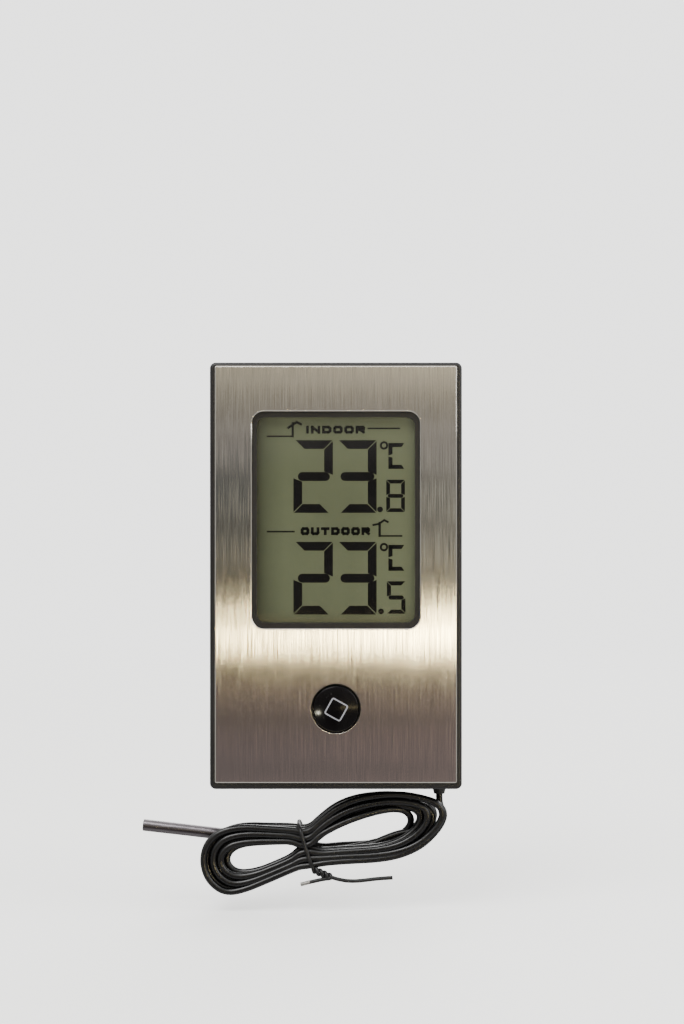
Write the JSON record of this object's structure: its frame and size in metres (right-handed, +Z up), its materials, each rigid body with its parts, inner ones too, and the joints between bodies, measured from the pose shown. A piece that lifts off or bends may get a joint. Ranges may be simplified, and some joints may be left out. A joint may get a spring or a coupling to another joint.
{
  "type": "maximum minimum thermometer",
  "caption": "Slim upright digital thermometer with a brushed metal face, tall display, round button, wall keyhole, table stand and a wired outside probe tied in a hank.",
  "frame": {"origin": "middle of the wall keyhole's round entry, in the plane of the flat back", "axes": "+Z up, +X to the right seen from the front, the front faces -Y and +Y points into the wall"},
  "size_m": [0.084, 0.0194, 0.1402],
  "materials": {
    "brushed_aluminium": "brushed, thin bevelled edges",
    "case_plastic": "fine spark texture",
    "button_plastic": "polished",
    "clear_acrylic": "clear, polished",
    "lcd_film": "satin",
    "lcd_glass": "clear",
    "reflector_film": "pearl",
    "holder_plastic": "moulded",
    "carbon_rubber": "layered",
    "adhesive": "foam tape",
    "board_laminate": "solder mask",
    "epoxy": "cured drop",
    "ceramic_body": "sintered",
    "tinned_metal": "tinned",
    "spring_steel": "nickel plated",
    "screw_steel": "black zinc",
    "stainless": "drawn tube",
    "cell_filling": "pressed powder",
    "cell_wrap": "shrink film",
    "lead_red": "insulation",
    "lead_black": "insulation",
    "cord_pvc": "smooth cable sheath",
    "grommet_rubber": "soft",
    "tie_plastic": "plastic-covered wire",
    "nylon": "natural nylon",
    "knob_plastic": "moulded"
  },
  "bodies": {
    "case": {"front_plate": "brushed_aluminium", "plate_adhesive": "adhesive", "front_housing": "case_plastic", "window_lens": "clear_acrylic", "lcd_front_polarizer": "lcd_film", "lcd_front_glass": "lcd_glass", "lcd_rear_glass": "lcd_glass", "lcd_reflector": "reflector_film", "lcd_holder": "holder_plastic", "zebra_strips": "carbon_rubber", "circuit_board": "board_laminate", "chip_blob": "epoxy", "quartz_crystal": "tinned_metal", "indoor_thermistor": "epoxy", "smd_parts": "ceramic_body", "board_screws": "screw_steel", "switch_body": "knob_plastic", "rear_cover": "case_plastic", "case_screws": "screw_steel", "battery_core": "cell_filling", "battery_can": "spring_steel", "battery_sleeve": "cell_wrap", "contact_spring": "spring_steel", "contact_plate": "spring_steel", "battery_lead_red": "lead_red", "battery_lead_black": "lead_black", "selector_body": "knob_plastic", "cable_grommet": "grommet_rubber", "sensor_tail": "cord_pvc", "strain_tie": "nylon", "sensor_lead": "cord_pvc", "sensor_hank": "cord_pvc", "probe_lead": "cord_pvc", "probe_tube": "stainless", "probe_thermistor": "epoxy", "probe_seal": "epoxy", "twist_tie": "tie_plastic"},
    "button": {"button_cap": "button_plastic", "switch_plunger": "knob_plastic"},
    "battery_door": {"battery_door": "case_plastic"},
    "table_stand": {"table_stand": "case_plastic"},
    "selector": {"selector_knob": "knob_plastic"}
  },
  "joints": [
    {"name": "button_press", "type": "slide", "parent": "case", "child": "button", "axis": [0, 1, 0], "range_m": [0, 0.0006], "stiffness_N_per_m": 300, "springref_m": -0.001},
    {"name": "battery_door_hinge", "type": "hinge", "parent": "case", "child": "battery_door", "pos_m": [0, -0.001, -0.0797], "axis": [1, 0, 0], "range_deg": [0, 85]},
    {"name": "table_stand_hinge", "type": "hinge", "parent": "case", "child": "table_stand", "pos_m": [0, -0.0017, -0.018], "axis": [1, 0, 0], "range_deg": [0, 60]},
    {"name": "selector_slide", "type": "slide", "parent": "case", "child": "selector", "axis": [1, 0, 0], "range_m": [0, 0.0025]}
  ]
}
